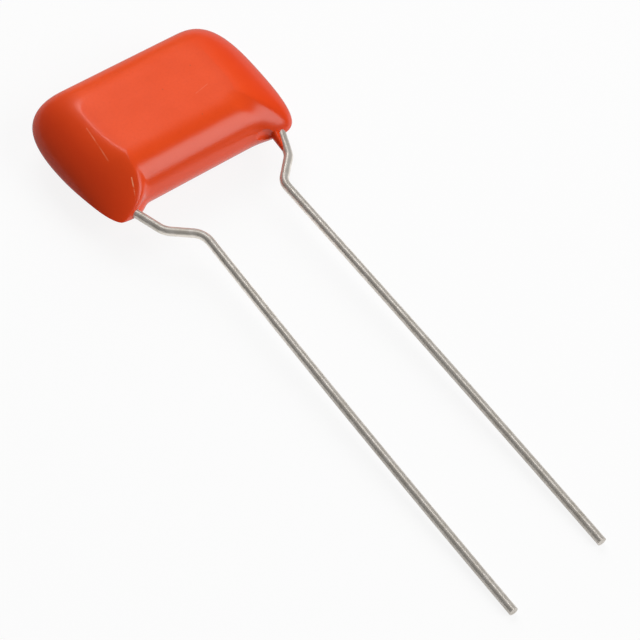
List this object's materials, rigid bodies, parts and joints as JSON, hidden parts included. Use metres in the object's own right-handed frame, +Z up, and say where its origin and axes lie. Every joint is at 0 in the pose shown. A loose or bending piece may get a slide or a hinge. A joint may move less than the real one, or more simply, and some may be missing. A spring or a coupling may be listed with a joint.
{
  "type": "film capacitor",
  "caption": "Dipped film capacitor: flattened winding in a glossy orange coat, with two kinked radial wire leads, lying on its broad face.",
  "frame": {"origin": "on the flat underside, below the middle of the coated body", "axes": "+X along the winding's axis towards the right lead, +Y away from the leads, +Z up out of the broad face; the leads point to -Y"},
  "size_m": [0.0206, 0.063, 0.006],
  "materials": {
    "orange_epoxy": "gloss",
    "tinned_copper": "satin",
    "end_solder": "matte",
    "film_and_foil": "gloss"
  },
  "bodies": {
    "root": {"coating": "orange_epoxy", "winding": "film_and_foil", "end_solder_left": "end_solder", "end_solder_right": "end_solder", "lead_left": "tinned_copper", "lead_right": "tinned_copper"}
  },
  "joints": []
}
